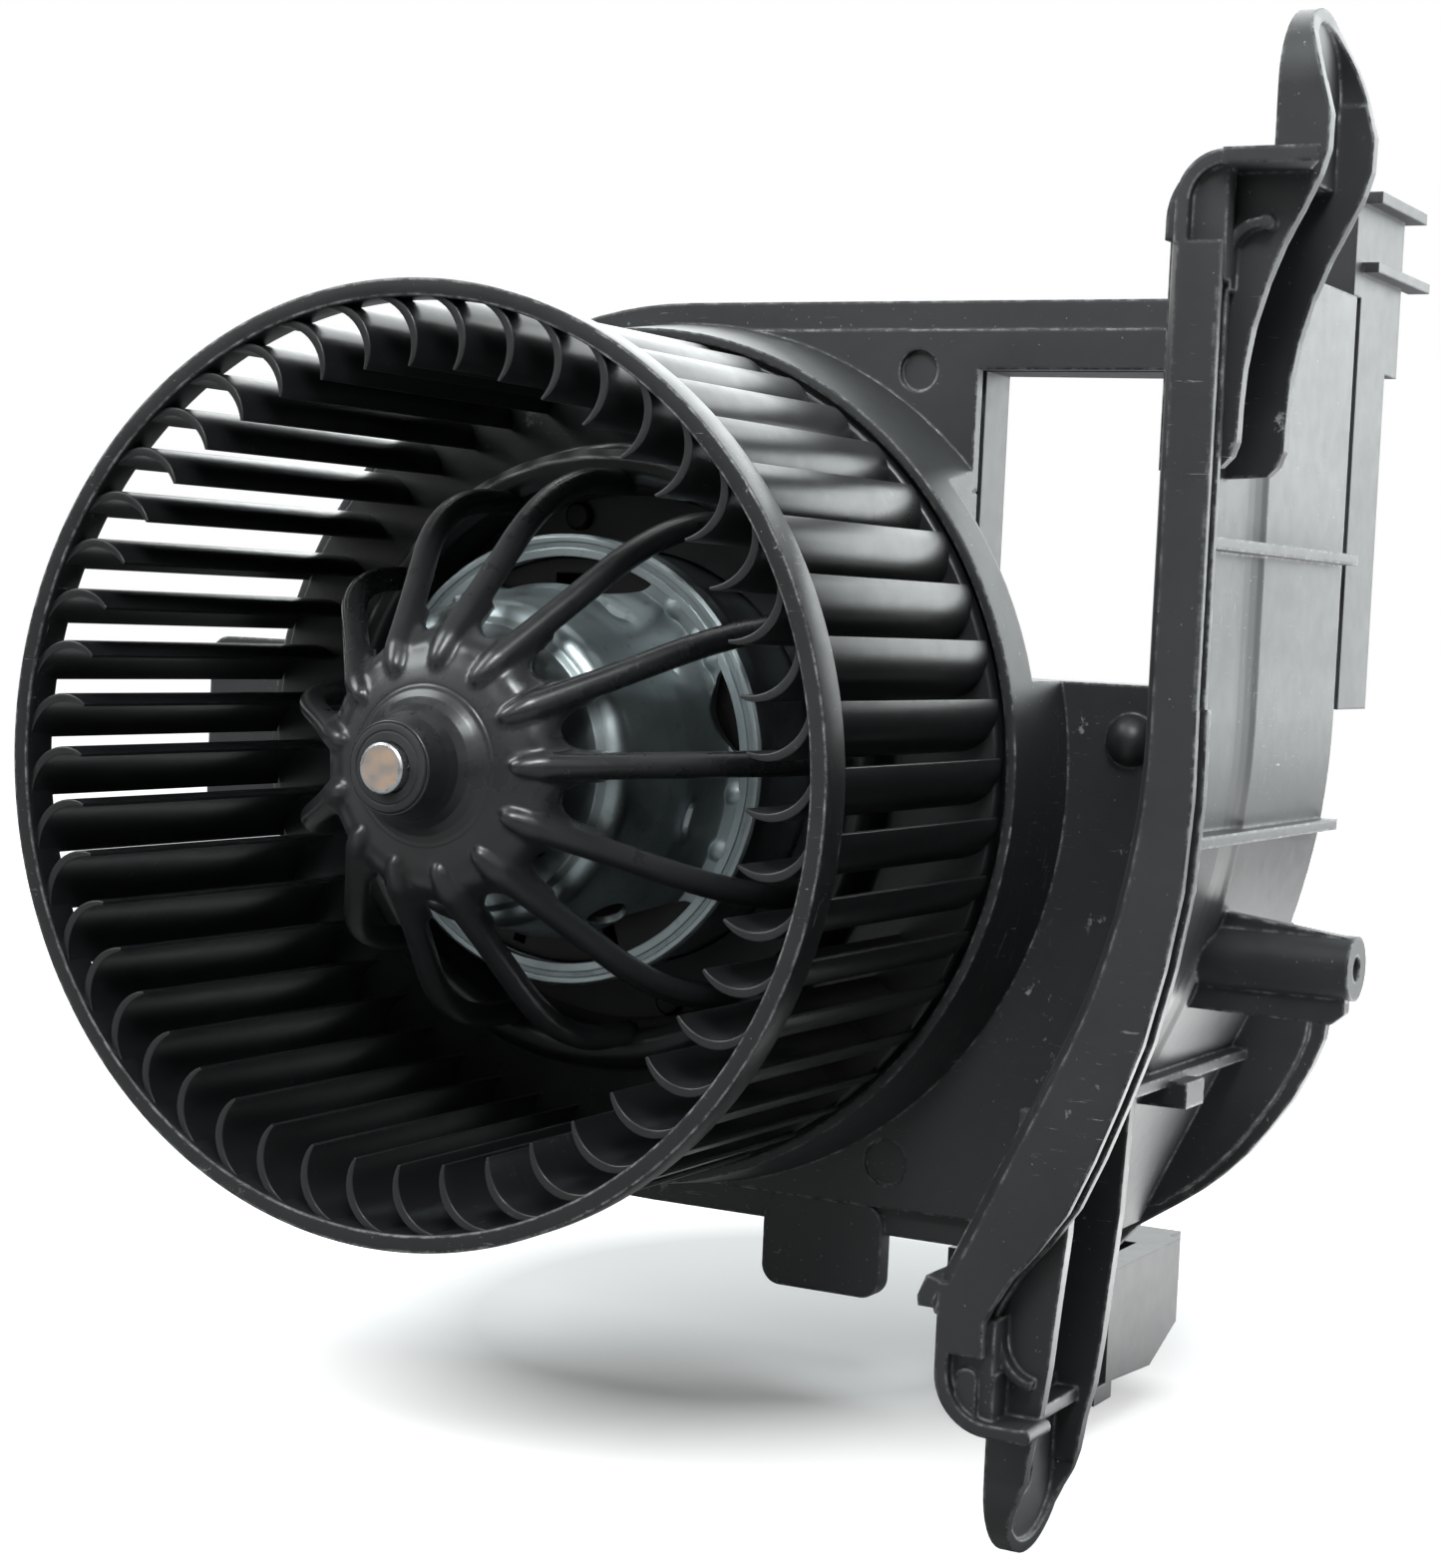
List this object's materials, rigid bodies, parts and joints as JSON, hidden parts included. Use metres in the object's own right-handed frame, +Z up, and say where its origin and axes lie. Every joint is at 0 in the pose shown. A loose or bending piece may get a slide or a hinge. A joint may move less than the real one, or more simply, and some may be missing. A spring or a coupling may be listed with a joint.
{
  "type": "blower motor wheel",
  "caption": "Squirrel-cage fan wheel on a direct-current motor, set in a plastic housing with a curved side wall, an air outlet, two mounting ears and a connector.",
  "frame": {"origin": "on the wheel's axis, in the plane of the hub's front edge, 0.7 mm behind the front face of the wheel's mouth ring", "axes": "+Y runs along the wheel's axis from the mouth to the motor's back, +X points from the wheel to the curved side wall, +Z points up"},
  "size_m": [0.2438, 0.1351, 0.2214],
  "materials": {
    "black_plastic": "moulded, slightly scuffed",
    "grey_plastic": "moulded",
    "dark_plastic": "moulded",
    "zinc_steel": "drawn, zinc plated",
    "steel": "ground",
    "copper": "bare and enamelled copper",
    "brass": "stamped",
    "lamination": "stacked sheet",
    "ferrite": "sintered",
    "bronze": "sintered",
    "carbon": "pressed",
    "rubber": "moulded",
    "lead_jacket": "smooth"
  },
  "bodies": {
    "housing": {"fan_housing": "black_plastic", "outlet_duct": "grey_plastic", "motor_front_cap": "zinc_steel", "motor_case": "zinc_steel", "field_magnets": "ferrite", "magnet_spring": "steel", "front_bearing": "bronze", "rear_bearing": "bronze", "bearing_retainers": "steel", "brush_plate": "dark_plastic", "brush_holders": "brass", "carbon_brushes": "carbon", "brush_springs": "steel", "suppression_chokes": "copper", "power_leads": "lead_jacket", "lead_grommet": "rubber", "damper_rings": "rubber", "motor_mount_ring": "black_plastic", "mount_screws": "steel", "motor_cover": "black_plastic", "cover_screws": "steel", "connector_housing": "grey_plastic", "connector_terminals": "brass"},
    "rotor": {"fan_wheel": "black_plastic", "wheel_hub": "black_plastic", "hub_clamp_ring": "rubber", "motor_shaft": "steel", "shaft_spacer": "steel", "commutator": "copper", "armature_core": "lamination", "armature_windings": "copper"}
  },
  "joints": [
    {"name": "wheel_spin", "type": "hinge", "parent": "housing", "child": "rotor", "pos_m": [0, 0, 0], "axis": [0, 1, 0], "continuous": true}
  ]
}
